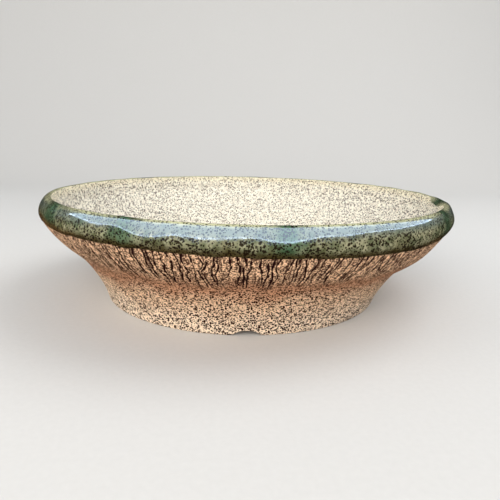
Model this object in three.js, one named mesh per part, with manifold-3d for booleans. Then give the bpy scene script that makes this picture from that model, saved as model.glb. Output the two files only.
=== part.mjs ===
// Round bonsai pot: thrown stoneware body, glazed lip, and the screens and clips over its drain holes.
// Millimetres, +Z up. The origin is on the table, under the centre of the rim.
import * as THREE from 'three';
import { mergeVertices } from 'three/addons/utils/BufferGeometryUtils.js';
import Module from 'manifold-3d';

const wasm = await Module();
wasm.setup();

// Driving dimensions of the pot
const RIM_RADIUS = 150; // the widest point of the lip
const HEIGHT = 75.7; // table to the crest of the lip
const FOOT_RADIUS = 103.5;
const FLOOR_THICKNESS = 8;
const FOOT_RECESS = 6; // height of the floor's underside above the table
const LEAN = 0.05; // the pot leans: each millimetre of height shifts the clay this far along +X
const GAP = 0.3; // clearance between separate pieces
const SEGMENTS = 64; // facets round the pot

// Outer wall: steep above the foot, then a shallow shoulder, then upright again at the lip
const FOOT_SLOPE = 75; // degrees above the table
const FOOT_REACH = 16; // how far the wall keeps each slope, along its tangent
const SHOULDER_RADIUS = 127;
const SHOULDER_HEIGHT = 38;
const SHOULDER_SLOPE = 37.7;
const SHOULDER_REACH_DOWN = 6;
const SHOULDER_REACH_UP = 20;
const LIP_LEVEL = 65.4; // height of the lip's widest point
const LIP_REACH = 3;

// Lip, rolled over in two quarter ellipses that meet at the crest
const CREST_RADIUS = 144.2;
const LIP_INNER_RADIUS = 138;

// Inner wall and floor
const INNER_SHOULDER_RADIUS = 121.5;
const INNER_SHOULDER_HEIGHT = 45;
const INNER_SHOULDER_SLOPE = 40;
const INNER_REACH = 10;
const FLOOR_RADIUS = 86; // the flat part of the floor
const FLOOR_REACH = 14; // how far the floor's fillet stays level
const FLOOR_TOP = FOOT_RECESS + FLOOR_THICKNESS;

// Foot ring, with a water notch at every third of its circle
const FOOT_WIDTH = 14;
const FOOT_DRAFT = 2; // the recess narrows this much towards the floor
const NOTCH_COUNT = 3;
const NOTCH_WIDTH = 22;
const NOTCH_TOP_WIDTH = 5;
const NOTCH_HEIGHT = 3.5;
const NOTCH_EASE = 4; // how far each side of the notch runs level before it rises or falls

// Glaze coat over the lip
const GLAZE_THICKNESS = 1;
const GLAZE_START = 0.75; // share of the upper wall curve that is below the glaze
const GLAZE_TUCK = 15; // degrees that the glaze runs past the crest, on the inner ellipse

// Drain holes and the small holes for tie wires
const DRAIN_COUNT = 3;
const DRAIN_RADIUS = 12;
const DRAIN_CIRCLE = 48;
const TIE_PAIR_COUNT = 3;
const TIE_HOLE_RADIUS = 2.5;
const TIE_CIRCLE = 74;
const TIE_SPREAD = 6; // degrees from the middle of a pair to each of its holes

// Screen: a square of plastic mesh
const MESH_OPENING = 4;
const MESH_STRAND = 1.5;
const MESH_THICKNESS = 1.5;
const MESH_CELLS = 7;
const MESH_PITCH = MESH_OPENING + MESH_STRAND;

// Clip: one bent wire with a loop at each end of its bridge, and two legs down the drain hole
const WIRE_RADIUS = 0.75;
const CLIP_LOOP_RADIUS = 5;
const CLIP_LEG_LENGTH = 11;
const CLIP_BEND = 1.5; // drop from the loop's level to the straight part of the leg
const CLIP_LOOP_POINTS = 5;
const CLIP_STEPS = 40;

const clay = new THREE.MeshStandardMaterial({ color: 0xc9ad8c, roughness: 0.9 });
const glaze = new THREE.MeshStandardMaterial({ color: 0x71775a, roughness: 0.15 });
const plastic = new THREE.MeshStandardMaterial({ color: 0x20231f, roughness: 0.6 });
const aluminium = new THREE.MeshStandardMaterial({ color: 0xb7b9bb, roughness: 0.35, metalness: 1 });

const radians = THREE.MathUtils.degToRad;
const point = (radius, height) => new THREE.Vector2(radius, height);
const leanAt = (height) => LEAN * (height - HEIGHT);

// The point reached from `start` by going `distance` at `slope` degrees above the horizontal
function along(start, slope, distance) {
  const angle = radians(slope);
  return point(start.x + distance * Math.cos(angle), start.y + distance * Math.sin(angle));
}

// Points at even steps of a curve's parameter, moved `inset` to the left of its direction of travel
function insetPoints(curve, from, to, count, inset) {
  const points = [];
  for (let i = 0; i <= count; i += 1) {
    const t = from + ((to - from) * i) / count;
    const tangent = curve.getTangent(t);
    const place = curve.getPoint(t);
    points.push(point(place.x - inset * tangent.y, place.y + inset * tangent.x));
  }
  return points;
}

// Wall curves, each from low to high outside and from high to low inside
const foot = point(FOOT_RADIUS, 0);
const shoulder = point(SHOULDER_RADIUS, SHOULDER_HEIGHT);
const lipOuter = point(RIM_RADIUS, LIP_LEVEL);
const lipInner = point(LIP_INNER_RADIUS, LIP_LEVEL);
const innerShoulder = point(INNER_SHOULDER_RADIUS, INNER_SHOULDER_HEIGHT);
const floorEdge = point(FLOOR_RADIUS, FLOOR_TOP);

const lowerWall = new THREE.CubicBezierCurve(
  foot,
  along(foot, FOOT_SLOPE, FOOT_REACH),
  along(shoulder, SHOULDER_SLOPE, -SHOULDER_REACH_DOWN),
  shoulder,
);
const upperWall = new THREE.CubicBezierCurve(
  shoulder,
  along(shoulder, SHOULDER_SLOPE, SHOULDER_REACH_UP),
  along(lipOuter, 90, -LIP_REACH),
  lipOuter,
);
const innerUpperWall = new THREE.CubicBezierCurve(
  lipInner,
  along(lipInner, 90, -LIP_REACH),
  along(innerShoulder, INNER_SHOULDER_SLOPE, INNER_REACH),
  innerShoulder,
);
const innerLowerWall = new THREE.CubicBezierCurve(
  innerShoulder,
  along(innerShoulder, INNER_SHOULDER_SLOPE, -INNER_REACH),
  along(floorEdge, 0, FLOOR_REACH),
  floorEdge,
);

// An arc of the lip between two angles, where 0 is outermost, 90 the crest and 180 innermost
function lipArc(from, to, count, inset) {
  const halfWidth = (to > 90 ? CREST_RADIUS - LIP_INNER_RADIUS : RIM_RADIUS - CREST_RADIUS) - inset;
  const rise = HEIGHT - LIP_LEVEL - inset;
  const arc = new THREE.EllipseCurve(
    CREST_RADIUS, LIP_LEVEL, halfWidth, rise, radians(from), radians(to),
  );
  return arc.getPoints(count);
}

// The glazed stretch of the lip, from its lower edge up, over the crest and a little way inside
function glazedStretch(start, inset) {
  return [
    ...insetPoints(upperWall, start, 1, 2, inset),
    ...lipArc(0, 90, 5, inset).slice(1),
    ...lipArc(90, 90 + GLAZE_TUCK, 1, inset).slice(1),
  ];
}

// Half section of the clay, from the middle of its underside round to the middle of its floor
function clayOutline() {
  const coat = GLAZE_THICKNESS + GAP;
  const ledge = GLAZE_START - GAP / upperWall.getLength();
  const recessRadius = FOOT_RADIUS - FOOT_WIDTH;
  const bareLip = 90 + GLAZE_TUCK + 5;
  return [
    point(0, FOOT_RECESS),
    point(recessRadius - FOOT_DRAFT, FOOT_RECESS),
    point(recessRadius, 0),
    ...lowerWall.getPoints(7),
    ...insetPoints(upperWall, 0, ledge, 4, 0).slice(1),
    ...glazedStretch(ledge, coat),
    ...lipArc(bareLip, 180, 4, 0),
    ...innerUpperWall.getPoints(4).slice(1),
    ...innerLowerWall.getPoints(6).slice(1),
    point(0, FLOOR_TOP),
  ];
}

function glazeOutline() {
  const outside = glazedStretch(GLAZE_START, 0);
  const inside = glazedStretch(GLAZE_START, GLAZE_THICKNESS);
  return [...outside, ...inside.reverse(), outside[0].clone()];
}

// A half section turned round the pot's axis, then leant over
function thrown(outline) {
  const geometry = new THREE.LatheGeometry(outline, SEGMENTS).rotateX(Math.PI / 2);
  const leant = new THREE.Matrix4().makeShear(0, 0, 0, 0, LEAN, 0);
  return geometry.applyMatrix4(leant).translate(leanAt(0), 0, 0);
}

function toSolid(geometry) {
  geometry.deleteAttribute('normal');
  geometry.deleteAttribute('uv');
  const merged = mergeVertices(geometry);
  const corners = merged.index.array;
  const kept = [];
  for (let i = 0; i < corners.length; i += 3) {
    const [a, b, c] = corners.subarray(i, i + 3);
    if (a !== b && b !== c && c !== a) kept.push(a, b, c);
  }
  const vertProperties = Float32Array.from(merged.attributes.position.array);
  const triVerts = Uint32Array.from(kept);
  return new wasm.Manifold(new wasm.Mesh({ numProp: 3, vertProperties, triVerts }));
}

function toGeometry(solid) {
  const mesh = solid.getMesh();
  const geometry = new THREE.BufferGeometry();
  geometry.setAttribute('position', new THREE.BufferAttribute(mesh.vertProperties, 3));
  geometry.setIndex(new THREE.BufferAttribute(mesh.triVerts, 1));
  geometry.computeVertexNormals();
  return geometry;
}

function namedMesh(name, geometry, material) {
  const mesh = new THREE.Mesh(geometry, material);
  mesh.name = name;
  return mesh;
}

// An upright hole through the floor
function floorHole(radius, circle, angle, sides) {
  const hole = new THREE.CylinderGeometry(radius, radius, 3 * FLOOR_THICKNESS, sides);
  hole.rotateX(Math.PI / 2);
  const x = leanAt(FLOOR_TOP) + circle * Math.cos(angle);
  const y = circle * Math.sin(angle);
  return toSolid(hole.translate(x, y, FLOOR_TOP));
}

// A low bell-shaped arch cut right through the foot ring, at `angle` from the front
function waterNotch(angle) {
  const half = NOTCH_WIDTH / 2;
  const halfTop = NOTCH_TOP_WIDTH / 2;
  const arch = new THREE.Shape();
  arch.moveTo(-half, -NOTCH_HEIGHT);
  arch.lineTo(half, -NOTCH_HEIGHT);
  arch.lineTo(half, 0);
  arch.bezierCurveTo(
    half - NOTCH_EASE, 0, halfTop + NOTCH_EASE, NOTCH_HEIGHT, halfTop, NOTCH_HEIGHT,
  );
  arch.lineTo(-halfTop, NOTCH_HEIGHT);
  arch.bezierCurveTo(
    -halfTop - NOTCH_EASE, NOTCH_HEIGHT, -half + NOTCH_EASE, 0, -half, 0,
  );
  const notch = new THREE.ExtrudeGeometry(arch, {
    depth: 2 * FOOT_WIDTH, bevelEnabled: false, curveSegments: 6,
  });
  notch.rotateX(Math.PI / 2);
  notch.translate(0, -(FOOT_RADIUS - 1.5 * FOOT_WIDTH), 0);
  notch.rotateZ(angle);
  return toSolid(notch.translate(leanAt(0), 0, 0));
}

function potBody() {
  const third = (2 * Math.PI) / NOTCH_COUNT;
  let body = toSolid(thrown(clayOutline()));
  for (let i = 0; i < NOTCH_COUNT; i += 1) {
    body = body.subtract(waterNotch(i * third));
  }
  for (let i = 0; i < DRAIN_COUNT; i += 1) {
    body = body.subtract(floorHole(DRAIN_RADIUS, DRAIN_CIRCLE, drainAngle(i), 32));
  }
  for (let i = 0; i < TIE_PAIR_COUNT; i += 1) {
    for (const side of [-1, 1]) {
      const angle = drainAngle(i) + Math.PI / TIE_PAIR_COUNT + side * radians(TIE_SPREAD);
      body = body.subtract(floorHole(TIE_HOLE_RADIUS, TIE_CIRCLE, angle, 12));
    }
  }
  return namedMesh('pot_body', toGeometry(body), clay);
}

function rimGlaze() {
  return namedMesh('rim_glaze', thrown(glazeOutline()), glaze);
}

// A flat square pierced by rows of square openings
function drainScreen(name) {
  const side = MESH_CELLS * MESH_PITCH + MESH_STRAND;
  const first = MESH_STRAND + (MESH_OPENING - side) / 2;
  let screen = toSolid(new THREE.BoxGeometry(side, side, MESH_THICKNESS));
  for (let row = 0; row < MESH_CELLS; row += 1) {
    for (let column = 0; column < MESH_CELLS; column += 1) {
      const opening = new THREE.BoxGeometry(MESH_OPENING, MESH_OPENING, 2 * MESH_THICKNESS);
      opening.translate(first + column * MESH_PITCH, first + row * MESH_PITCH, 0);
      screen = screen.subtract(toSolid(opening));
    }
  }
  return namedMesh(name, toGeometry(screen).translate(0, 0, MESH_THICKNESS / 2), plastic);
}

// Centre line of half a clip, from the middle of its bridge to the foot of one leg
function halfClip() {
  const level = MESH_THICKNESS + GAP + WIRE_RADIUS;
  const leg = DRAIN_RADIUS - WIRE_RADIUS - GAP;
  const half = [];
  for (let i = 0; i < CLIP_LOOP_POINTS; i += 1) {
    const angle = radians(135 - (225 * i) / (CLIP_LOOP_POINTS - 1));
    const x = leg + CLIP_LOOP_RADIUS * Math.cos(angle);
    const y = CLIP_LOOP_RADIUS * Math.sin(angle);
    half.push(new THREE.Vector3(x, y, level));
  }
  half.push(new THREE.Vector3(leg, -WIRE_RADIUS, level));
  half.push(new THREE.Vector3(leg, 0, level - CLIP_BEND));
  half.push(new THREE.Vector3(leg, 0, -CLIP_LEG_LENGTH / 2));
  half.push(new THREE.Vector3(leg, 0, -CLIP_LEG_LENGTH));
  return half;
}

function screenClip(name) {
  const half = halfClip();
  const halfTurn = new THREE.Vector3(-1, -1, 1);
  const otherHalf = half.map((place) => place.clone().multiply(halfTurn)).reverse();
  const centreLine = new THREE.CatmullRomCurve3([...otherHalf, ...half]);
  const wire = new THREE.Shape();
  wire.absarc(0, 0, WIRE_RADIUS, 0, 2 * Math.PI);
  const geometry = new THREE.ExtrudeGeometry(wire, {
    extrudePath: centreLine, steps: CLIP_STEPS, curveSegments: 3,
  });
  return namedMesh(name, geometry, aluminium);
}

function drainAngle(index) {
  return Math.PI / 2 + (index * 2 * Math.PI) / DRAIN_COUNT;
}

// One screen and its clip, just above the floor over a drain hole, squared up to the pot's radius
function drainFitting(index) {
  const angle = drainAngle(index);
  const fitting = new THREE.Group();
  fitting.add(drainScreen(`drain_screen_${index + 1}`), screenClip(`screen_clip_${index + 1}`));
  fitting.position.set(
    leanAt(FLOOR_TOP) + DRAIN_CIRCLE * Math.cos(angle),
    DRAIN_CIRCLE * Math.sin(angle),
    FLOOR_TOP + GAP,
  );
  fitting.rotation.z = angle;
  return fitting;
}

const bonsaiPot = new THREE.Group();
bonsaiPot.add(potBody(), rimGlaze());
for (let i = 0; i < DRAIN_COUNT; i += 1) {
  bonsaiPot.add(drainFitting(i));
}

export default bonsaiPot;
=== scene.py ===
"""Looks of the round bonsai pot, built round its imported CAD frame.

The clay and the glaze are turned again as fine meshes from the CAD's own section, with the water
notches, drain holes, fissures and the glaze's uneven edge in the geometry. The drain screens and
their clips are rebuilt with rounded strands and wire. The pot stands on a paper sweep, under three
soft lamps and a curved pane of light that its glaze mirrors. Metres, +Z up, the front towards -Y.
"""
import math

import bmesh
import bpy
import numpy as np
from mathutils import Matrix, Vector


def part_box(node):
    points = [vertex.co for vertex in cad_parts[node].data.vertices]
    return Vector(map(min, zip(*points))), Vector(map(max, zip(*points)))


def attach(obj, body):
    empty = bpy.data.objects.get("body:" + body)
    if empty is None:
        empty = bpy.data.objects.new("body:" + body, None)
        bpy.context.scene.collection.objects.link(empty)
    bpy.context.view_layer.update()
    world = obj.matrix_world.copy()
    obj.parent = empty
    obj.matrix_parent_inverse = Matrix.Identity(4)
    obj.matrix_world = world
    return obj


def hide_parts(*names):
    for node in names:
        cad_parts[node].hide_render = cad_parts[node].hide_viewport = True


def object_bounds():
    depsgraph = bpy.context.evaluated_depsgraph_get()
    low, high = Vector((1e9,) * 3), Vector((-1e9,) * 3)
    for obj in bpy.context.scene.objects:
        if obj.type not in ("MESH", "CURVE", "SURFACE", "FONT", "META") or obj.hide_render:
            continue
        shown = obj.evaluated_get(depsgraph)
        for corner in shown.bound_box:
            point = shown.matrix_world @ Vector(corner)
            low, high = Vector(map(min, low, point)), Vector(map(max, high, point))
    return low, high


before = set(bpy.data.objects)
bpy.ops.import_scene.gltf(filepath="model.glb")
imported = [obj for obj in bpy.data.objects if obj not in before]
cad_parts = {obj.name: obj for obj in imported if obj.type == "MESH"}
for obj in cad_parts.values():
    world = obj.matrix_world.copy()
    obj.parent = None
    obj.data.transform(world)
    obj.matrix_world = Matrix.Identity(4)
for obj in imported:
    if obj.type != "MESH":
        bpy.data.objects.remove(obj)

cad_low, cad_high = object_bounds()

MM = 0.001
FRONT = -math.pi / 2
FITTINGS = (1, 2, 3)  # the drain holes, each with its screen and clip
SAME_PLACE = 0.01 * MM  # points closer together than this are one
rng = np.random.default_rng(7)

# The pot as a whole, read from the frame
HEIGHT = cad_high.z
RIM_RADIUS = (cad_high.y - cad_low.y) / 2

# The profile line that clay and glaze are turned from, and the rows of faces along it
LINE_STEP = 0.1 * MM
LINE_ROUNDING = 0.8 * MM
SHARP_CORNER = math.radians(40)
CLAY_BEND = math.radians(14)
FOOT_ROW = 1.8 * MM
INSIDE_ROW = 2 * MM
INSIDE_BLEND = 2 * MM  # the clay takes its inside colour over this distance, under the glaze

# The wall's slight bulge to the right, between the shoulder and the glaze
BULGE = 2.8 * MM
BULGE_AT = math.radians(70)
BULGE_HALF_TURN = math.radians(35)
BULGE_LOWNESS = 0.65  # below 1, the bulge's fullest level is below the middle of that stretch

# Fissures in the clay below the glaze: their number and cross-section
CRACKS = 240
CRACK_DEPTH = 0.35 * MM
CRACK_FULL_DEPTH = 0.3 * MM  # half-width from which a fissure is as deep as that
CRACK_EDGE = 0.14 * MM  # width of the slope from lip to bed
CRACK_CLEARANCE = 1.1 * CRACK_EDGE
CRACK_THINNEST = 0.06 * MM
CRACK_WIDEST = (0.28 * MM, 0.5 * MM)  # half-widths
CRACK_WOBBLE = 0.8
CRACK_WOBBLE_LIMITS = (0.25, 1.8)

# Where the fissures are: a few start in sight below the glaze, and the rest start under it
CRACK_ZONE = 31 * MM  # height from which the rows of faces follow the fissures
CRACK_UNDER_GLAZE = 4.5 * MM  # how far they go on doing so past the glaze's lower edge
CRACK_LATE_SHARE = 0.08
CRACK_LATE_HEAD = (2 * MM, 9 * MM)
CRACK_HIDDEN_HEAD = -5 * MM
CRACK_OPENING = 2 * MM
CRACK_LENGTH = (30 * MM, 44 * MM)
CRACK_TAPER = 0.6  # share of its length after which a fissure narrows

# How a fissure wanders on its way down
CRACK_ROW = 0.8 * MM
CRACK_GAP = 1.7 * MM  # what neighbours are pushed apart to
CRACK_JAG = 0.12 * MM
CRACK_JITTER = 0.25  # of the even spacing
CRACK_FIRST_HEADING = 0.15
CRACK_HEADING = 0.2
CRACK_TURNING = 0.18  # chance of a new heading at each row
CRACK_PULL = 80  # how strongly a new heading leads back, for each metre of drift
SPREADING_PASSES = 20

# Water notches in the foot ring, the first at the front
NOTCH_COUNT = 3
NOTCH_HALF = 11 * MM
NOTCH_HALF_TOP = 2.5 * MM
NOTCH_HEIGHT = 3.5 * MM
NOTCH_BLEND = 9 * MM

# Holes through the floor
DRAIN_RADIUS = 12 * MM
DRAIN_FILLET = 1.5 * MM
DRAIN_SIDES = 64
TIE_RADIUS = 2.5 * MM
TIE_FILLET = 0.7 * MM
TIE_SIDES = 24
TIE_CIRCLE = 74 * MM
TIE_SPREAD = math.radians(6)
FILLET_POINTS = 5

# Glaze coat: a thick roll along its lower edge, thin over the crest
GLAZE_COLUMNS = 720
GLAZE_ROW = 0.9 * MM
GLAZE_BEND = math.radians(8)
GLAZE_PROUD = 0.4 * MM
GLAZE_ROLL = (3 * MM, 11 * MM)  # the roll thins out between these distances from that edge
GLAZE_THIN = 0.1 * MM
GLAZE_BEAD = 0.7 * MM
BEAD_RINGS = 6
BEAD_CLEARANCE = 1.2 * GLAZE_BEAD
GLAZE_WAVE = 0.12 * MM
GLAZE_HOLLOW = 0.3 * MM  # the deepest that a wave may go
GLAZE_EDGE_NOISE = 0.3 * MM
GLAZE_EDGE_ROUNDING = math.radians(12)

# The coat's hidden side, and the clay that dips under it
GLAZE_BURIED = 0.6 * MM
GLAZE_TUCKED = 0.2 * MM  # the coat's edges are this far inside the clay
LINING_DEPTH = GLAZE_BURIED + 0.3 * MM
LINING_RINGS = 12
SINK_RAMP = 3 * MM
SINK_END = 0.5 * MM

# Where the glaze's lower edge hangs low or stops short: degrees right of the front, and mm up
GLAZE_EDGE = (
    (-104, -1), (-74, 4), (-50, -1.2), (-28, -0.6), (0, -2.2), (36, -5), (50, -3.6), (66, 2.5),
    (88, 1), (115, -2), (140, -3), (175, -0.5), (215, -3),
)

# Green pools in the glaze: degrees right of the front, and half-widths in degrees
POOLS = ((-55, 6), (-28, 4), (5, 4), (53, 4), (77, 6), (130, 4), (172, 5), (222, 4))

# A tongue of glaze that runs over the lip and down the inside
TONGUE_AT = math.radians(77)
TONGUE_HALF_TURN = math.radians(8)
TONGUE_LENGTH = 4.5 * MM
TONGUE_FROM = 0.75  # share of the coat from which the tongue is thicker
TONGUE_PROUD = 0.08  # extra thickness, as a share of the tongue's length
TONGUE_SMOOTH = 0.06  # how much shallower waves are on it, as a share of its length

# Drain screens
STRAND = 1.5 * MM
OPENINGS = 7
STRAND_ROUNDING = 0.4 * MM

# Camera: close in front and above, then turned a little about the pot
CAMERA_PLACE = Vector((2.6, -375.0, 117.6)) * MM
CAMERA_PITCH = math.radians(13.28)
CAMERA_TURN = math.radians(-3.1)
CAMERA_ROLL = math.radians(1.47)
CAMERA_LENS = 34.56
CAMERA_SENSOR = 36

# The studio's floor, which curves up into the backdrop
FLOOR_HALF = 1.6
SWEEP_RADIUS = 0.6
SWEEP_BACK = 1.3
SWEEP_TOP = 2.0
SWEEP_POINTS = 25

# The curved pane of light that the glaze mirrors, brightest along its lower edge
REFLECTOR_DISTANCE = 1.2
REFLECTOR_LOW = math.radians(18)
REFLECTOR_HIGH = math.radians(86)
REFLECTOR_HALF_TURN = math.radians(112)
REFLECTOR_COLUMNS = 33
REFLECTOR_ROWS = 13
REFLECTOR_GLOW = 8.1
REFLECTOR_EDGE_GLOW = 23.4
REFLECTOR_EDGE = 0.1
REFLECTOR_COLOUR = (0.6, 0.78, 1.0, 1)

# Lamps
POT_MIDDLE = (0, 0, 0.04)
WARM_LIGHT = (1, 0.97, 0.93)
WHITE_LIGHT = (1, 1, 1)
WORLD_COLOUR = (0.92, 0.95, 1, 1)
WORLD_STRENGTH = 0.6


# ---------------------------------------------------------------- the CAD's section

def foot_middle():
    """Where the middle of the face that the pot stands on is, along X."""
    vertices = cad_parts["pot_body"].data.vertices
    standing = [v.co.x for v in vertices if v.co.z < SAME_PLACE]
    return (min(standing) + max(standing)) / 2


LEAN = -foot_middle() / HEIGHT


def centre_x(height):
    """Where the leaning pot's axis is at a height."""
    return LEAN * (height - HEIGHT)


def section(node):
    """A CAD node's outline in the half-plane y = 0, x > 0, as ordered rows of (radius, height)."""
    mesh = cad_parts[node].data
    # In whole micrometres, the points that neighbouring faces share are equal
    places = [tuple(round(c * 1e6) for c in v.co) for v in mesh.vertices]
    links = {}
    for edge in mesh.edges:
        a, b = (places[i] for i in edge.vertices)
        if a != b and all(abs(y) < SAME_PLACE * 1e6 and x > 0 for x, y, z in (a, b)):
            links.setdefault(a, set()).add(b)
            links.setdefault(b, set()).add(a)
    chain = [min(links, key=lambda point: (len(links[point]), point[2]))]
    onward = links[chain[0]]
    while onward:
        chain.append(max(onward))
        onward = links[chain[-1]] - set(chain)
    points = np.array(chain, float)[:, [0, 2]] / 1e6
    points[:, 0] -= centre_x(points[:, 1])
    return points


def arc_length(line):
    """How far along the line each of its points is."""
    return np.concatenate([[0], np.cumsum(np.linalg.norm(np.diff(line, axis=0), axis=1))])


def resample(line, spacing):
    """The line again with its points evenly spaced, about `spacing` apart."""
    length = arc_length(line)
    at = np.linspace(0, length[-1], max(1, round(length[-1] / spacing)) + 1)
    return np.column_stack([np.interp(at, length, line[:, k]) for k in (0, 1)])


def spline(points):
    """A fine polyline on the Hermite spline through the points."""
    gaps = np.linalg.norm(np.diff(points, axis=0), axis=1)[:, None]
    slopes = np.diff(points, axis=0) / gaps
    inner = (slopes[:-1] * gaps[1:] + slopes[1:] * gaps[:-1]) / (gaps[:-1] + gaps[1:])
    tangents = np.vstack([slopes[:1], inner, slopes[-1:]])
    pieces = []
    for i, gap in enumerate(gaps[:, 0]):
        t = np.arange(0, 1, LINE_STEP / gap)[:, None]
        pieces.append(
            (1 + 2 * t) * (1 - t) ** 2 * points[i]
            + t * (1 - t) ** 2 * gap * tangents[i]
            + t * t * (3 - 2 * t) * points[i + 1]
            + t * t * (t - 1) * gap * tangents[i + 1]
        )
    return np.vstack(pieces + [points[-1:]])


def corners(points):
    """The numbers of the points where the outline turns sharply."""
    steps = np.diff(points, axis=0)
    heading = np.unwrap(np.arctan2(steps[:, 1], steps[:, 0]))
    return np.nonzero(np.abs(np.diff(heading)) > SHARP_CORNER)[0] + 1


def soften(line, radius):
    """Rounds a line's corners by averaging it along its length, with its ends kept."""
    even = resample(line, LINE_STEP)
    reach = round(radius / LINE_STEP)
    before = 2 * even[0] - even[reach:0:-1]
    after = 2 * even[-1] - even[-2:-reach - 2:-1]
    padded = np.vstack([before, even, after])
    window = np.full(2 * reach + 1, 1 / (2 * reach + 1))
    return np.column_stack([np.convolve(padded[:, k], window, "valid") for k in (0, 1)])


def smoothstep(value, low, high):
    """A smooth step from 0 to 1 while the value goes from low to high."""
    t = np.clip((value - low) / (high - low), 0, 1)
    return t * t * (3 - 2 * t)


class Profile:
    """The pot's whole outside line, from the foot's inner edge over the rim to the floor."""

    def __init__(self):
        clay = section("pot_body")
        glaze = section("rim_glaze")
        bends = corners(clay)
        foot_inner, foot_outer, ledge = bends[:3]
        coat_end = corners(glaze)[0]
        lines = [
            spline(clay[:foot_inner + 1]),
            spline(clay[foot_inner:foot_outer + 1]),
            spline(np.vstack([clay[foot_outer:ledge], glaze[:coat_end + 1], clay[bends[-1] + 1:]])),
        ]
        self.underside = clay[0, 1]
        self.floor = clay[-1, 1]
        self.line = soften(np.vstack(lines), LINE_ROUNDING)
        self.length = arc_length(self.line)
        slope = np.gradient(self.line, axis=0)
        slope /= np.linalg.norm(slope, axis=1)[:, None]
        self.normal = np.column_stack([slope[:, 1], -slope[:, 0]])
        self.heading = np.unwrap(np.arctan2(slope[:, 1], slope[:, 0]))
        self.foot = self.nearest(clay[foot_outer])
        self.crackle = self.length[np.argmax(self.outside() & (self.line[:, 1] > CRACK_ZONE))]
        self.coat_start = self.nearest(glaze[0])
        self.coat_end = self.nearest(glaze[coat_end])
        self.end = self.length[-1]

    def outside(self):
        """Which points are on the wall's outside, or after it."""
        return self.length > self.foot

    def nearest(self, point):
        """The distance along the line of its point nearest to this one."""
        return self.length[np.argmin(np.linalg.norm(self.line - point, axis=1))]

    def place(self, along, outward=0.0):
        """Radius and height at a distance along the line, moved out from the surface."""
        radius, height, across, up = (
            np.interp(along, self.length, column) for column in (*self.line.T, *self.normal.T)
        )
        return radius + outward * across, height + outward * up

    def rows(self, start, end, widest, bend=CLAY_BEND):
        """Distances along the line, `widest` apart where it is straight and closer on bends."""
        inside = (self.length >= start) & (self.length <= end)
        at = self.length[inside]
        turning = np.abs(np.gradient(self.heading[inside]))
        cost = np.cumsum(np.gradient(at) / widest + turning / bend)
        cost -= cost[0]
        return np.interp(np.linspace(0, cost[-1], math.ceil(cost[-1]) + 1), cost, at)


profile = Profile()


# ---------------------------------------------------------------- meshes grown ring by ring

def even_angles(count):
    """So many angles, evenly spaced over a full turn."""
    return np.arange(count) * 2 * math.pi / count


def wrapped(angles):
    """Angles brought to within half a turn of zero."""
    return (angles + math.pi) % (2 * math.pi) - math.pi


def bulge(angles, along):
    """How far the hand-thrown wall stands out from the round profile."""
    share = (along - profile.crackle) / (profile.coat_start - profile.crackle)
    swell = np.sin(math.pi * np.clip(share, 0, 1) ** BULGE_LOWNESS) ** 2
    turned = wrapped(angles - FRONT - BULGE_AT) / BULGE_HALF_TURN
    return BULGE * swell * np.exp(-turned ** 2)


def ring_noise(angles, waves, amplitude):
    """Smooth noise round the pot that closes on itself, a sum of 1 to `waves` turns."""
    total = np.zeros_like(angles)
    for k in range(1, waves + 1):
        total += rng.normal() * np.cos(k * angles + rng.uniform(0, 2 * math.pi))
    return amplitude * total * math.sqrt(2 / waves)


def rounded(ring, reach):
    """A ring of values with its corners rounded over an angle each way."""
    window = np.hanning(2 * round(reach * len(ring) / (2 * math.pi)) + 3)
    spread = np.zeros(len(ring))
    spread[:len(window)] = window / window.sum()
    spread = np.roll(spread, -(len(window) // 2))
    return np.fft.ifft(np.fft.fft(ring) * np.fft.fft(spread)).real


def add_object(name, data):
    """A new object in the scene, of this mesh, light or camera."""
    made = bpy.data.objects.new(name, data)
    bpy.context.scene.collection.objects.link(made)
    return made


def add_piece(mesh, shape):
    """Writes a bmesh to the mesh, and returns the smoothly shaded object of it."""
    shape.to_mesh(mesh)
    shape.free()
    mesh.shade_smooth()
    return add_object(mesh.name, mesh)


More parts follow.
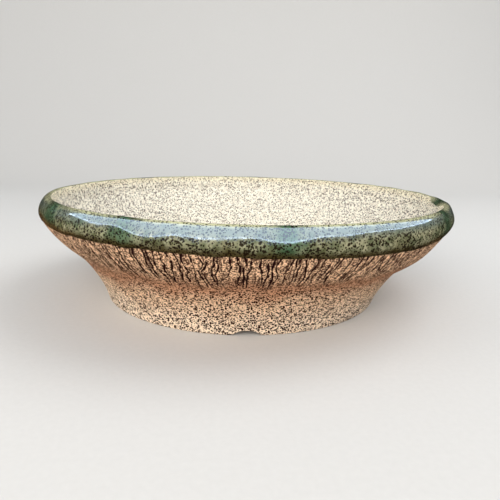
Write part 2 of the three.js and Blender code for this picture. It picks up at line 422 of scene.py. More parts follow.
class Grid:
    """A mesh grown ring by ring, each ring joined to the one before."""

    def __init__(self, *attributes):
        self.places = []
        self.faces = []
        self.values = {name: [] for name in attributes}
        self.count = 0
        self.last = None

    def ring(self, angles, radius, height, **values):
        """Adds a ring round the pot's leaning axis and joins it to the last one."""
        self.circle((centre_x(height), 0), angles, radius, height, **values)

    def circle(self, centre, angles, radius, height, joined=True, **values):
        """Adds a ring round an upright axis, and returns the numbers of its points."""
        x = centre[0] + radius * np.cos(angles)
        y = centre[1] + radius * np.sin(angles)
        z = np.broadcast_to(height, angles.shape)
        self.places.append(np.column_stack([x, y, z]))
        for name, stack in self.values.items():
            stack.append(np.broadcast_to(values.get(name, 0), angles.shape))
        ids = np.arange(self.count, self.count + len(angles))
        self.count += len(angles)
        if joined and self.last is not None:
            self.join(self.last, ids)
        self.last = ids
        return ids

    def join(self, low, high):
        """Quads between equal rings; a fan and a quad at each point where one ring is finer."""
        if len(low) == len(high):
            self.faces += zip(low, np.roll(low, -1), np.roll(high, -1), high)
            return
        flip = len(low) > len(high)
        few, many = (high, low) if flip else (low, high)
        share = len(many) // len(few)
        for i in range(len(few)):
            here, beside = few[i], few[(i + 1) % len(few)]
            fine = many[np.arange(share * i, share * i + share + 1) % len(many)]
            fan = [(here, fine[j + 1], fine[j]) for j in range(share - 1)]
            fan.append((here, beside, fine[-1], fine[-2]))
            self.faces += [face[::-1] for face in fan] if flip else fan

    def build(self, name, flat_fills=()):
        """The object, with flat faces filling the areas that each list of rings bounds."""
        mesh = bpy.data.meshes.new(name)
        faces = [tuple(int(corner) for corner in face) for face in self.faces]
        mesh.from_pydata(np.vstack(self.places), [], faces)
        for key, stack in self.values.items():
            attribute = mesh.attributes.new(key, "FLOAT", "POINT")
            attribute.data.foreach_set("value", np.concatenate(stack).astype(np.float32))
        shape = bmesh.new()
        shape.from_mesh(mesh)
        shape.verts.ensure_lookup_table()
        for rings in flat_fills:
            edges = [
                shape.edges.get((shape.verts[a], shape.verts[b]))
                for ring in rings
                for a, b in zip(ring, np.roll(ring, -1))
            ]
            bmesh.ops.triangle_fill(shape, edges=edges, use_beauty=True)
        if flat_fills:
            bmesh.ops.recalc_face_normals(shape, faces=shape.faces)
        return add_piece(mesh, shape)


# ---------------------------------------------------------------- clay body

def notch_lift(angles, radius):
    """How far the water notches raise the foot's underside."""
    lift = np.zeros_like(angles)
    for i in range(NOTCH_COUNT):
        turn = angles - FRONT - i * 2 * math.pi / NOTCH_COUNT
        across = np.abs(radius * np.sin(turn))
        arch = 1 - smoothstep(across, NOTCH_HALF_TOP, NOTCH_HALF)
        lift += NOTCH_HEIGHT * np.where(np.cos(turn) > 0, arch, 0)
    return lift


def foot_rows(grid, angles, rows):
    """Rings of the foot, with those near its underside pushed up along the walls at each notch."""
    wall = profile.line[profile.outside() & (profile.length < profile.crackle)]
    for along in rows:
        radius, height = profile.place(along)
        blend = profile.underside if along < profile.foot else NOTCH_BLEND
        lift = notch_lift(angles, radius) * max(0, 1 - height / blend)
        raised = height + lift
        if along > profile.foot:
            radius = np.interp(raised, wall[:, 1], wall[:, 0])
        grid.ring(angles, radius, raised)


def kept_apart(angles, gap):
    """Angles round the pot, pushed apart bit by bit until neighbours are about `gap` apart."""
    for _ in range(SPREADING_PASSES):
        gaps = np.diff(angles, append=angles[:1] + 2 * math.pi)
        short = np.clip(gap - gaps, 0, None) / 2
        angles = angles + np.roll(short, 1) - short
    return angles


def crack_paths(rows):
    """The angle of every fissure at each row: walks down the wall that keep clear of each other."""
    radius = profile.place(rows)[0]
    spacing = 2 * math.pi / CRACKS
    start = even_angles(CRACKS) + rng.uniform(-CRACK_JITTER, CRACK_JITTER, CRACKS) * spacing
    heading = rng.normal(0, CRACK_FIRST_HEADING, CRACKS)
    drift = np.zeros(CRACKS)
    paths = np.zeros((len(rows), CRACKS))
    for j in reversed(range(len(rows))):
        turned = rng.uniform(0, 1, CRACKS) < CRACK_TURNING
        new_heading = rng.normal(0, CRACK_HEADING, CRACKS) - CRACK_PULL * drift
        heading = np.where(turned, new_heading, heading)
        drift += heading * CRACK_ROW + rng.normal(0, CRACK_JAG, CRACKS)
        paths[j] = kept_apart(start + drift / radius[j], CRACK_GAP / radius[j])
        drift = (paths[j] - start) * radius[j]
    return paths


def crack_widths(rows, paths):
    """Half the width of every fissure at each row; zero where it is closed."""
    radius = profile.place(rows)[0][:, None]
    below_glaze = (profile.coat_start - rows)[:, None]
    length = rng.uniform(*CRACK_LENGTH, CRACKS)
    late = rng.uniform(0, 1, CRACKS) < CRACK_LATE_SHARE
    head = np.where(late, rng.uniform(*CRACK_LATE_HEAD, CRACKS), CRACK_HIDDEN_HEAD)
    widest = rng.uniform(*CRACK_WIDEST, CRACKS)
    wobble = rng.normal(0, 1, paths.shape)
    wobble[1:-1] = (wobble[:-2] + wobble[1:-1] + wobble[2:]) / 3
    opening = smoothstep(below_glaze, head, head + CRACK_OPENING)
    closing = 1 - smoothstep(below_glaze, CRACK_TAPER * length, length)
    uneven = np.clip(1 + CRACK_WOBBLE * wobble, *CRACK_WOBBLE_LIMITS)
    half = widest * opening * closing * uneven
    gaps = np.diff(paths, axis=1, append=paths[:, :1] + 2 * math.pi)
    room = np.minimum(gaps, np.roll(gaps, 1, axis=1)) * radius / 2 - CRACK_CLEARANCE
    return np.where(half > CRACK_THINNEST, np.minimum(half, room), 0)


def crackle_zone(grid, rows, paths):
    """Rings with four columns to a fissure: its two lips and the two edges of its bed."""
    widths = crack_widths(rows, paths)
    for along, path, width in zip(rows, paths, widths):
        radius = profile.place(along)[0]
        half = np.maximum(width, CRACK_THINNEST)
        lip = half + CRACK_EDGE
        across = np.column_stack([-lip, -half, half, lip]) / radius
        angles = (path[:, None] + across).ravel()
        bed = np.sqrt(np.clip(width / CRACK_FULL_DEPTH, 0, 1))
        depth = np.column_stack([0 * bed, bed, bed, 0 * bed]).ravel()
        radius, height = profile.place(along, bulge(angles, along) - CRACK_DEPTH * depth)
        grid.ring(angles, radius, height, crack=depth)


def sunken_rows(grid, angles, rows):
    """Rings that dip under the glaze, then carry on down the inside."""
    for along in rows:
        under = along - profile.coat_start
        start = smoothstep(under, CRACK_UNDER_GLAZE, CRACK_UNDER_GLAZE + SINK_RAMP)
        end = 1 - smoothstep(along, profile.coat_end - SINK_RAMP, profile.coat_end - SINK_END)
        sunk = GLAZE_BURIED * start * end
        radius, height = profile.place(along, bulge(angles, along) - sunk)
        inside = smoothstep(along, profile.coat_end - INSIDE_BLEND, profile.coat_end)
        grid.ring(angles, radius, height, inside=inside)


def floor_hole(grid, centre, radius, fillet, sides):
    """An upright hole with rounded edges. Returns its rings at the floor and the underside."""
    arc = np.linspace(0, math.pi / 2, FILLET_POINTS)
    radii = radius + fillet * (1 - np.sin(arc))
    depths = fillet * (1 - np.cos(arc))
    angles = even_angles(sides)
    top = grid.circle(centre, angles, radii[0], profile.floor, joined=False, inside=1)
    for hole_radius, depth in zip(radii[1:], depths[1:]):
        grid.circle(centre, angles, hole_radius, profile.floor - depth, inside=1)
    for hole_radius, depth in zip(radii[::-1], depths[::-1]):
        bottom = grid.circle(centre, angles, hole_radius, profile.underside + depth)
    return top, bottom


def drain_centre(fitting):
    """The middle of a drain screen, which is centred on its hole."""
    low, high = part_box(f"drain_screen_{fitting}")
    return (low + high) / 2


def drain_direction(fitting):
    """The angle at which a drain hole lies from the pot's axis."""
    centre = drain_centre(fitting)
    return math.atan2(centre.y, centre.x - centre_x(profile.floor))


def floor_holes(grid):
    """Drain and tie holes. Returns their rings at the floor, and those at the underside."""
    rings = []
    for n in FITTINGS:
        rings.append(floor_hole(grid, drain_centre(n), DRAIN_RADIUS, DRAIN_FILLET, DRAIN_SIDES))
        for side in (-1, 1):
            angle = drain_direction(n) + math.pi / len(FITTINGS) + side * TIE_SPREAD
            x = centre_x(profile.floor) + TIE_CIRCLE * math.cos(angle)
            y = TIE_CIRCLE * math.sin(angle)
            rings.append(floor_hole(grid, (x, y), TIE_RADIUS, TIE_FILLET, TIE_SIDES))
    return zip(*rings)


def clay_body():
    """One closed solid: foot, fissured wall, the lip under the glaze, inside, floor and holes."""
    rows = profile.rows(profile.crackle, profile.coat_start + CRACK_UNDER_GLAZE, CRACK_ROW)
    paths = crack_paths(rows)
    fine = even_angles(2 * CRACKS)
    even = even_angles(CRACKS)
    grid = Grid("crack", "inside")
    foot_rows(grid, fine, profile.rows(0, profile.crackle, FOOT_ROW)[:-1])
    underside_edge = np.arange(len(fine))
    crackle_zone(grid, rows, paths)
    sunken_rows(grid, even, profile.rows(rows[-1], profile.end, INSIDE_ROW)[1:])
    floor_edge = grid.last
    tops, bottoms = floor_holes(grid)
    return grid.build("pot_clay", ([floor_edge, *tops], [underside_edge, *bottoms]))


# ---------------------------------------------------------------- glaze coat

def glaze_edge(angles):
    """How far up the lower edge is from its even course: low tongues and small wobbles."""
    marks, levels = np.array(GLAZE_EDGE).T
    edge = np.interp(angles - FRONT, np.radians(marks), levels * MM, period=2 * math.pi)
    noise = ring_noise(angles, waves=60, amplitude=GLAZE_EDGE_NOISE)
    return rounded(edge, GLAZE_EDGE_ROUNDING) + noise


def glaze_pools(angles):
    """How far inside a green pool each angle is, from 0 to 1."""
    pool = np.zeros_like(angles)
    for at, half in np.radians(POOLS):
        pool = np.maximum(pool, np.exp(-(wrapped(angles - FRONT - at) / half) ** 2))
    return pool


def quarter_circle(share):
    """Rises from 0 to 1 as a quarter circle does while share goes from 0 to 1, and stays there."""
    return math.sqrt(1 - (1 - min(share, 1)) ** 2)


def glaze_rows(total):
    """Distances from the lower edge, close together at both beads and on bends."""
    bead = GLAZE_BEAD * (1 - np.cos(np.linspace(0, math.pi / 2, BEAD_RINGS)))
    between = profile.rows(profile.coat_start, profile.coat_end, GLAZE_ROW, GLAZE_BEND)
    between = between - profile.coat_start
    between = between[(between > BEAD_CLEARANCE) & (between < total - BEAD_CLEARANCE)]
    return np.concatenate([bead, between, total - bead[::-1]])


def glaze_coat():
    """A closed shell over the lip, with a rounded bead along its uneven edges."""
    angles = even_angles(GLAZE_COLUMNS)
    start = profile.coat_start + glaze_edge(angles)
    from_tongue = wrapped(angles - FRONT - TONGUE_AT) / TONGUE_HALF_TURN
    tongue = TONGUE_LENGTH * np.exp(-from_tongue ** 4)
    inner_noise = ring_noise(angles, waves=50, amplitude=GLAZE_EDGE_NOISE)
    span = profile.coat_end + tongue + np.abs(inner_noise) - start
    low_wave = ring_noise(angles, waves=28, amplitude=GLAZE_WAVE)
    high_wave = ring_noise(angles, waves=36, amplitude=GLAZE_WAVE)
    pool = glaze_pools(angles)
    grid = Grid("run", "rim", "pool")

    def shell_ring(share, outward):
        along = start + share * span
        radius, height = profile.place(along, outward + bulge(angles, along))
        grid.ring(angles, radius, height, run=share * span, rim=(1 - share) * span, pool=pool)

    total = profile.coat_end - profile.coat_start
    for distance in glaze_rows(total):
        share = distance / total
        bead = quarter_circle(min(distance, total - distance) / GLAZE_BEAD)
        proud = GLAZE_PROUD * (1 - smoothstep(distance, *GLAZE_ROLL)) + GLAZE_THIN
        proud = proud + TONGUE_PROUD * tongue * smoothstep(share, TONGUE_FROM, 1)
        wave = low_wave * math.sin(math.pi * share) + high_wave * math.sin(2 * math.pi * share)
        wave = np.maximum(wave, TONGUE_SMOOTH * tongue - GLAZE_HOLLOW)
        shell_ring(share, bead * (GLAZE_TUCKED + proud) - GLAZE_TUCKED + wave)
    for share in np.linspace(1, 0, LINING_RINGS + 2)[1:-1]:
        shell_ring(share, -GLAZE_TUCKED - LINING_DEPTH * math.sin(math.pi * share) ** 0.5)
    grid.join(grid.last, np.arange(GLAZE_COLUMNS))
    return grid.build("pot_glaze")


# ---------------------------------------------------------------- drain screens and clips

def screen_shape(side, thickness):
    """A flat square of strands round openings, with its middle at the origin."""
    opening = (side - (OPENINGS + 1) * STRAND) / OPENINGS
    count = 2 * OPENINGS + 1
    steps = [opening if i % 2 else STRAND for i in range(count)]
    lines = np.concatenate([[0], np.cumsum(steps)]) - side / 2
    shape = bmesh.new()
    grid = [[shape.verts.new((x, y, 0)) for x in lines] for y in lines]
    for j in range(count):
        for i in range(count):
            if i % 2 == 0 or j % 2 == 0:
                shape.faces.new((grid[j][i], grid[j][i + 1], grid[j + 1][i + 1], grid[j + 1][i]))
    bmesh.ops.recalc_face_normals(shape, faces=shape.faces)
    bmesh.ops.solidify(shape, geom=shape.faces[:], thickness=thickness)
    heights = [v.co.z for v in shape.verts]
    middle = (min(heights) + max(heights)) / 2
    bmesh.ops.translate(shape, verts=shape.verts, vec=(0, 0, -middle))
    return shape


def drain_screen(fitting):
    """A square mesh of rounded strands, squared up to the pot's radius like the CAD screen."""
    name = f"drain_screen_{fitting}"
    low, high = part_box(name)
    centre = drain_centre(fitting)
    angle = drain_direction(fitting)
    squared_up = Matrix.Rotation(-angle, 3, "Z")
    across = [(squared_up @ (v.co - centre)).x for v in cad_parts[name].data.vertices]
    shape = screen_shape(max(across) - min(across), high.z - low.z)
    placed = Matrix.Translation(centre) @ Matrix.Rotation(angle, 4, "Z")
    bmesh.ops.transform(shape, matrix=placed, verts=shape.verts)
    piece = add_piece(bpy.data.meshes.new(f"screen_mesh_{fitting}"), shape)
    rounding = piece.modifiers.new("rounding", "BEVEL")
    rounding.width = STRAND_ROUNDING
    rounding.segments = 2
    rounding.limit_method = "ANGLE"
    return piece


def screen_clip(fitting):
    """The CAD clip again as smooth round wire."""
    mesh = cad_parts[f"screen_clip_{fitting}"].data.copy()
    mesh.name = f"screen_wire_{fitting}"
    shape = bmesh.new()
    shape.from_mesh(mesh)
    bmesh.ops.remove_doubles(shape, verts=shape.verts, dist=SAME_PLACE)
    bmesh.ops.join_triangles(
        shape, faces=shape.faces, angle_face_threshold=0.6, angle_shape_threshold=1.5)
    piece = add_piece(mesh, shape)
    rounding = piece.modifiers.new("rounding", "SUBSURF")
    rounding.levels = rounding.render_levels = 2
    return piece


# ---------------------------------------------------------------- node materials

def tint(red, green, blue):
    """A colour given as screen values from 0 to 255, as the linear colour that nodes take."""
    shares = [c / 255 for c in (red, green, blue)]
    linear = [c / 12.92 if c <= 0.04045 else ((c + 0.055) / 1.055) ** 2.4 for c in shares]
    return (*linear, 1)


class Finish:
    """A Principled material, with short calls that add the nodes which feed it."""

    def __init__(self, name, **settings):
        self.material = bpy.data.materials.new(name)
        self.material.use_nodes = True
        self.tree = self.material.node_tree
        self.shader = next(n for n in self.tree.nodes if n.type == "BSDF_PRINCIPLED")
        self.place = self.add("TexCoord", {}, "Object")
        for socket, value in settings.items():
            self.set(socket.replace("_", " "), value)

    def set(self, socket, value):
        """Gives the shader's socket a value, or the output of a node."""
        self.feed(self.shader.inputs[socket], value)

    def feed(self, socket, value):
        """Links the socket if the value is a node's output, and else sets it."""
        if isinstance(value, bpy.types.NodeSocket):
            self.tree.links.new(value, socket)
        else:
            socket.default_value = value

    def add(self, kind, sockets, output=0, **settings):
        """Adds a node, fills its input sockets by name or number, and returns one output."""
        node = self.tree.nodes.new("ShaderNode" + kind)
        for key, value in settings.items():
            setattr(node, key, value)
        for key, value in sockets.items():
            self.feed(node.inputs[key], value)
        return node.outputs[output]

    def attribute(self, name):
        """A number that the mesh carries at its points."""
        return self.add("Attribute", {}, "Fac", attribute_name=name)

    def axis(self, name):
        """The place along X, Y or Z."""
        return self.add("SeparateXYZ", {0: self.place}, name)

    def sum(self, a, b):
        return self.add("Math", {0: a, 1: b}, operation="ADD")

    def times(self, a, b):
        return self.add("Math", {0: a, 1: b}, operation="MULTIPLY")

    def either(self, a, b):
        """The larger of two masks."""
        return self.add("Math", {0: a, 1: b}, operation="MAXIMUM")

    def rest(self, a):
        """One minus a."""
        return self.add("Math", {0: 1.0, 1: a}, operation="SUBTRACT")

    def magnitude(self, a):
        """The number a without its sign."""
        return self.add("Math", {0: a}, operation="ABSOLUTE")

    def ramp(self, value, low, high, to_low=0.0, to_high=1.0):
        """A smooth step from to_low to to_high while the value goes from low to high."""
        sockets = {"Value": value, "From Min": low, "From Max": high}
        sockets |= {"To Min": to_low, "To Max": to_high}
        return self.add("MapRange", sockets, interpolation_type="SMOOTHSTEP")

    def mix(self, share, a, b):
        """Colour a, going over to colour b as share goes from 0 to 1."""
        return self.add("Mix", {0: share, 6: a, 7: b}, 2, data_type="RGBA")

    def between(self, share, a, b):
        """Number a, going over to number b as share goes from 0 to 1."""
        return self.add("Mix", {0: share, 2: a, 3: b})

    def noise(self, size, detail=2.0, where=None, output=0):
        """Noise whose blotches are about `size` metres across."""
        sockets = {"Vector": where or self.place, "Scale": 1 / size, "Detail": detail}
        return self.add("TexNoise", sockets, output)

    def warped(self, size, amount):
        """Coordinates pushed about by noise, so that what is drawn on them turns irregular."""
        push = self.noise(size, 1.0, output=1)
        sockets = {0: push, 1: (amount, amount, amount), 2: self.place}
        return self.add("VectorMath", sockets, operation="MULTIPLY_ADD")

    def around(self, squeeze):
        """Coordinates on a cylinder round the pot, with height squeezed, for grain down the wall."""
        flat = self.add("VectorMath", {0: self.place, 1: (1, 1, 0)}, operation="MULTIPLY")
        turn = self.add("VectorMath", {0: flat}, operation="NORMALIZE")
        ring = self.add("VectorMath", {0: turn, "Scale": RIM_RADIUS}, operation="SCALE")
        tall = self.add("VectorMath", {0: self.place, 1: (0, 0, squeeze)}, operation="MULTIPLY")
        return self.add("VectorMath", {0: ring, 1: tall}, operation="ADD")

    def specks(self, cell, share, softness=0.05):
        """A mask of irregular specks, one to a cell, that covers about `share` of the surface."""
        where = self.warped(0.6 * cell, 0.28 * cell)
        sockets = {"Vector": where, "Scale": 1 / cell}
        distance = self.add("TexVoronoi", sockets, "Distance")
        lot = self.add("SeparateColor", {0: self.add("TexVoronoi", sockets, "Color")}, 0)
        ball = (0.75 * share / math.pi) ** (1 / 3)  # radius, in cells, of a ball that fills `share`
        radius = self.ramp(lot, 0, 1, 0.55 * ball, 1.35 * ball)
        outer = self.sum(radius, softness)
        inner = self.sum(radius, -softness)
        return self.rest(self.ramp(distance, inner, outer))

    def bump(self, height, depth, under=None):
        """Relief as deep as `depth` metres where height goes from 0 to 1."""
        sockets = {"Strength": 1.0, "Distance": depth, "Height": height}
        if under is not None:
            sockets["Normal"] = under
        return self.add("Bump", sockets)


def clay_ground(finish, level, height, inside):
    """The clay's own colour: pale at the foot, toasted at the shoulder, cream inside."""
    foot = tint(254, 230, 201)
    wall = tint(240, 202, 165)
    toast = tint(202, 149, 113)
    flare = tint(250, 204, 163)
    cream = tint(242, 236, 219)
    straw = tint(222, 208, 160)
    dirt = tint(150, 118, 92)
    body = finish.mix(finish.ramp(level, 3 * MM, 26 * MM), foot, wall)
    body = finish.mix(finish.ramp(level, 22 * MM, 35 * MM), body, toast)
    body = finish.mix(finish.ramp(level, 36 * MM, 46 * MM), body, flare)
    below_lip = finish.ramp(height, 68 * MM, 75 * MM, 0.0, 0.5)
    body = finish.mix(inside, body, finish.mix(below_lip, cream, straw))
    blotch = finish.ramp(finish.noise(3 * MM, 4.0), 0.4, 0.7)
    return finish.mix(finish.times(blotch, 0.3), body, dirt)


def clay_specks(finish, level, inside):
    """Iron specks in two sizes, and a third size from the shoulder up on the outside; inside, they
    grow stronger towards the left and right, partly as denser specks and partly as painted shade.
    """
    coarse = finish.between(inside, finish.specks(1.25 * MM, 0.36), finish.specks(1.4 * MM, 0.22))
    fine = finish.times(finish.specks(0.9 * MM, 0.14), finish.between(inside, 1.0, 0.6))
    upper = finish.times(finish.ramp(level, 33 * MM, 42 * MM), finish.rest(inside))
    extra = finish.times(finish.specks(1.1 * MM, 0.2), upper)
    specks = finish.either(finish.either(coarse, fine), extra)
    sideways = finish.magnitude(finish.axis("X"))
    # Inside, specks are stronger towards the left and right sides: partly denser specks, partly
    # painted shade on those sides.
    inside_specks_and_shade = finish.ramp(sideways, 0.3 * RIM_RADIUS, 0.85 * RIM_RADIUS, 0.85, 1.0)
    strong_outside = finish.ramp(level, 28 * MM, 40 * MM, 1.0, 0.9)
    return finish.times(specks, finish.between(inside, strong_outside, inside_specks_and_shade))


def crackle_hairlines(finish, height, inside):
    """Thin broken cracks between the modelled fissures, drawn out down the wall."""
    field = finish.noise(2.2 * MM, 1.0, finish.around(0.16))
    edge = finish.magnitude(finish.sum(field, -0.5))
    lines = finish.rest(finish.ramp(edge, 0.015, 0.055))
    broken = finish.ramp(finish.noise(2.6 * MM, where=finish.around(0.5)), 0.4, 0.52)
    zone = finish.times(finish.ramp(height, 33 * MM, 42 * MM), finish.rest(inside))
    return finish.times(finish.times(lines, broken), zone)


def clay_finish():
    """Speckled stoneware with fine crackle below the glaze and dark beds in its fissures."""
    finish = Finish("speckled_stoneware", Roughness=0.88, Specular_IOR_Level=0.06)
    height = finish.axis("Z")
    inside = finish.attribute("inside")
    drift = finish.ramp(finish.noise(25 * MM, 3.0), 0.3, 0.7, -3 * MM, 3 * MM)
    level = finish.sum(height, drift)

    specks = clay_specks(finish, level, inside)
    iron = finish.mix(inside, tint(50, 18, 6), tint(48, 36, 36))
    colour = finish.mix(specks, clay_ground(finish, level, height, inside), iron)
    hairlines = crackle_hairlines(finish, height, inside)
    colour = finish.mix(finish.times(hairlines, 0.8), colour, tint(62, 26, 14))
    fissures = finish.ramp(finish.attribute("crack"), 0.0, 0.55)
    finish.set("Base Color", finish.mix(fissures, colour, tint(40, 14, 10)))

    grain = finish.noise(0.5 * MM, 3.0)
    finish.set("Roughness", finish.ramp(grain, 0.2, 0.8, 0.8, 0.95))
    relief = finish.bump(grain, 0.08 * MM)
    dents = finish.sum(finish.times(specks, -0.5), finish.times(hairlines, -1.0))
    finish.set("Normal", finish.bump(dents, 0.12 * MM, relief))
    return finish.material


def glaze_ground(finish, cloud):
    """Sage glaze: green in its pools, streaked where it ran, dark along its lower edge, which
    carries a painted warm reflection towards the left and right ends.
    """
    sage = tint(160, 156, 124)
    olive = tint(98, 102, 74)
    emerald = tint(44, 86, 60)
    moss = tint(84, 78, 44)
    brown = tint(60, 48, 22)
    warm_reflection = tint(128, 90, 48)
    run = finish.attribute("run")
    streak = finish.noise(6 * MM, 3.0, finish.around(0.15))
    body = finish.mix(finish.ramp(cloud, 0.35, 0.65), sage, olive)
    patch = finish.sum(finish.noise(60 * MM), finish.times(streak, 0.3))
    pool = finish.sum(finish.attribute("pool"), finish.ramp(patch, 0.78, 0.9))
    body = finish.mix(finish.times(pool, 0.8), body, emerald)
    drip = finish.times(finish.ramp(streak, 0.5, 0.66), finish.ramp(run, 16 * MM, 4 * MM))
    body = finish.mix(finish.times(drip, 0.6), body, moss)
    low = finish.ramp(finish.sum(run, finish.times(cloud, -3 * MM)), 5 * MM, 0.2 * MM)
    # Painted reflection: towards the left and right ends, the dark lower edge turns to a warm amber
    # reflection.
    reflection_at_ends = finish.ramp(finish.magnitude(finish.axis("X")), 0.6 * RIM_RADIUS, 0.9 * RIM_RADIUS)
    return finish.mix(finish.times(low, 0.92), body, finish.mix(reflection_at_ends, brown, warm_reflection))


def glaze_finish():
    """Glossy sage glaze, pale on the crest, with a painted blue-grey reflection band just below it
    where coarse specks fade, and crowded iron specks.
    """
    finish = Finish("sage_glaze", IOR=1.55)
    cloud = finish.noise(5 * MM, 4.0)
    below_crest = finish.sum(finish.attribute("rim"), finish.times(cloud, 2 * MM))
    shallow = finish.rest(finish.attribute("pool"))
    # Painted reflection: a blue-grey band just below the crest, where the glaze mirrors the pale
    # sky.
    painted_reflection_band = finish.times(finish.ramp(below_crest, 14 * MM, 8 * MM), shallow)
    crest = finish.times(finish.ramp(below_crest, 7 * MM, 3.5 * MM), shallow)
    body = glaze_ground(finish, cloud)
    body = finish.mix(finish.times(painted_reflection_band, 0.8), body, tint(108, 120, 112))
    body = finish.mix(finish.times(crest, 0.8), body, tint(214, 212, 168))

    # Coarse specks fade inside the painted reflection band, as if washed out by the reflection.
    crowd = finish.times(finish.ramp(finish.noise(9 * MM), 0.42, 0.5), finish.rest(painted_reflection_band))
    coarse = finish.times(finish.specks(1.8 * MM, 0.25), crowd)
    iron = finish.either(coarse, finish.specks(1.1 * MM, 0.26))
    finish.set("Base Color", finish.mix(finish.times(iron, 0.95), body, tint(28, 16, 6)))

    finish.set("Roughness", finish.ramp(cloud, 0.3, 0.7, 0.06, 0.14))
    orange_peel = finish.bump(finish.noise(3 * MM), 0.05 * MM)
    finish.set("Normal", finish.bump(finish.rest(iron), 0.02 * MM, orange_peel))
    return finish.material


def mesh_finish():
    """Moulded black plastic with a fine grain and a little dust."""
    finish = Finish("screen_plastic", IOR=1.5)
    dust = finish.ramp(finish.noise(6 * MM, 4.0), 0.45, 0.75)
    finish.set("Base Color", finish.mix(dust, tint(38, 38, 40), tint(72, 69, 64)))
    finish.set("Roughness", finish.ramp(dust, 0, 1, 0.42, 0.65))
    finish.set("Normal", finish.bump(finish.noise(0.4 * MM), 0.03 * MM))
    return finish.material


def wire_finish():
    """Drawn aluminium wire, dulled in patches and finely scratched."""
    finish = Finish("clip_aluminium", Metallic=1.0)
    dull = finish.ramp(finish.noise(4 * MM, 3.0), 0.4, 0.7)
    scratch = finish.noise(0.3 * MM, 3.0, finish.around(0.3))
    finish.set("Base Color", finish.mix(dull, tint(190, 190, 192), tint(140, 140, 144)))
    finish.set("Roughness", finish.ramp(scratch, 0.3, 0.7, 0.34, 0.55))
    finish.set("Normal", finish.bump(scratch, 0.01 * MM))
    return finish.material


# ---------------------------------------------------------------- the object

def show(piece, node, body, material):
    """Puts the piece in place of a CAD node, on a body and in a material."""
    piece.data.materials.clear()
    piece.data.materials.append(material)
    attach(piece, body)
    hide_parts(node)


show(clay_body(), "pot_body", "pot", clay_finish())
show(glaze_coat(), "rim_glaze", "pot", glaze_finish())
plastic = mesh_finish()
aluminium = wire_finish()
for n in FITTINGS:
    show(drain_screen(n), f"drain_screen_{n}", f"screen_{n}", plastic)
    show(screen_clip(n), f"screen_clip_{n}", f"screen_{n}", aluminium)


# ---------------------------------------------------------------- studio

def stage_sheet(name, places, wide, material):
    """A sheet of the studio, from rows of points that are `wide` points long."""
    faces = [
        (i + wide * j, i + 1 + wide * j, i + 1 + wide * (j + 1), i + wide * (j + 1))
        for j in range(len(places) // wide - 1)
        for i in range(wide - 1)
    ]
    mesh = bpy.data.meshes.new(name)
    mesh.from_pydata(places, [], faces)
    mesh.materials.append(material)
    sheet = add_object(name, mesh)
    return sheet


def paper_finish():
    """Pale matt paper."""
    finish = Finish("studio_paper", Roughness=0.95, Specular_IOR_Level=0.1)
    grain = finish.noise(3 * MM)
    finish.set("Base Color", finish.mix(grain, tint(206, 204, 200), tint(212, 210, 206)))
    return finish.material


def sweep():
    """A pale floor that curves up into the backdrop, and that the glaze doesn't mirror."""
    across = np.linspace(-FLOOR_HALF, FLOOR_HALF, 3)
    line = [(-FLOOR_HALF, 0)]
    for turn in np.linspace(0, math.pi / 2, SWEEP_POINTS):
        depth = SWEEP_BACK - SWEEP_RADIUS * (1 - math.sin(turn))
        line.append((depth, SWEEP_RADIUS * (1 - math.cos(turn))))
    line.append((SWEEP_BACK, SWEEP_TOP))
    places = [(x, y, z) for y, z in line for x in across]
    floor = stage_sheet("studio_sweep", places, len(across), paper_finish())
    floor.data.shade_smooth()
    floor.visible_glossy = False


def sky_finish():
    """A pale blue glow, strongest along the pane's lower edge and weaker at its far sides."""
    finish = Finish("sky_glow", Base_Color=(0, 0, 0, 1), Specular_IOR_Level=0.0)
    finish.set("Emission Color", REFLECTOR_COLOUR)
    low = HEIGHT + REFLECTOR_DISTANCE * math.sin(REFLECTOR_LOW)
    height = finish.axis("Z")
    glow = finish.ramp(height, low, low + REFLECTOR_EDGE, REFLECTOR_EDGE_GLOW, REFLECTOR_GLOW)
    sideways = finish.magnitude(finish.axis("X"))
    fade = finish.ramp(sideways, 0.5 * REFLECTOR_DISTANCE, REFLECTOR_DISTANCE, 1.0, 0.6)
    finish.set("Emission Strength", finish.times(glow, fade))
    return finish.material


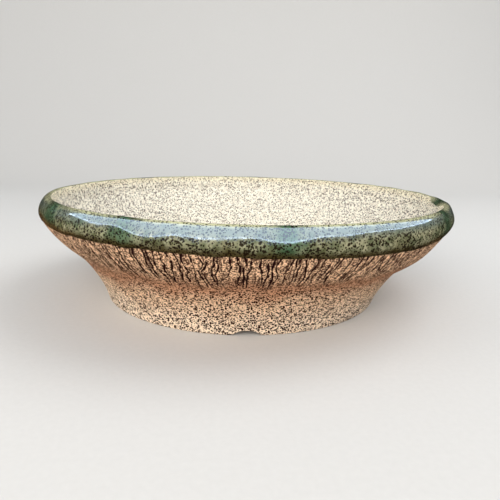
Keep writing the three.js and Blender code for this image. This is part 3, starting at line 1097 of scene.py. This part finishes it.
def sky_reflector():
    """A curved pane of pale light round the front, seen only in the glaze's reflections."""
    half = REFLECTOR_HALF_TURN
    turns = np.linspace(-half, half, REFLECTOR_COLUMNS) + FRONT
    places = []
    for rise in np.linspace(REFLECTOR_LOW, REFLECTOR_HIGH, REFLECTOR_ROWS):
        radius = REFLECTOR_DISTANCE * math.cos(rise)
        height = HEIGHT + REFLECTOR_DISTANCE * math.sin(rise)
        places += [(radius * math.cos(turn), radius * math.sin(turn), height) for turn in turns]
    pane = stage_sheet("sky_reflector", places, len(turns), sky_finish())
    pane.visible_camera = False
    pane.visible_diffuse = False
    pane.visible_shadow = False


def area_light(name, place, aim, size, power, colour):
    """A soft round lamp that the glaze doesn't mirror."""
    light = bpy.data.lights.new(name, "AREA")
    light.shape = "DISK"
    light.size = size
    light.energy = power
    light.color = colour
    lamp = add_object(name, light)
    lamp.location = place
    lamp.rotation_euler = (Vector(aim) - Vector(place)).to_track_quat("-Z", "Y").to_euler()
    lamp.visible_glossy = False


def studio_world():
    """Even pale light from all round, which the glaze doesn't mirror."""
    world = bpy.data.worlds.new("studio_world")
    world.use_nodes = True
    background = next(n for n in world.node_tree.nodes if n.type == "BACKGROUND")
    background.inputs["Color"].default_value = WORLD_COLOUR
    background.inputs["Strength"].default_value = WORLD_STRENGTH
    world.cycles_visibility.glossy = False
    bpy.context.scene.world = world


def studio_camera():
    """The scene's camera, tilted down at the pot and turned about it."""
    lens = bpy.data.cameras.new("camera")
    lens.lens = CAMERA_LENS
    lens.sensor_width = CAMERA_SENSOR
    lens.clip_start = 10 * MM
    camera = add_object("camera", lens)
    tilt = Matrix.Rotation(math.pi / 2 - CAMERA_PITCH, 4, "X")
    roll = Matrix.Rotation(CAMERA_ROLL, 4, "Z")
    turn = Matrix.Rotation(CAMERA_TURN, 4, "Z")
    camera.matrix_world = turn @ Matrix.Translation(CAMERA_PLACE) @ tilt @ roll
    bpy.context.scene.camera = camera


sweep()
sky_reflector()
area_light("key", (-0.4, -1.4, 0.75), POT_MIDDLE, size=1.2, power=18, colour=WARM_LIGHT)
area_light("top", (0.85, 0.1, 1.3), (0, 0, 0), size=1.2, power=11, colour=WHITE_LIGHT)
area_light("left_fill", (-1.4, -0.4, 0.8), POT_MIDDLE, size=1.0, power=5.5, colour=WARM_LIGHT)
studio_world()
studio_camera()
bpy.context.scene.view_settings.view_transform = "Standard"
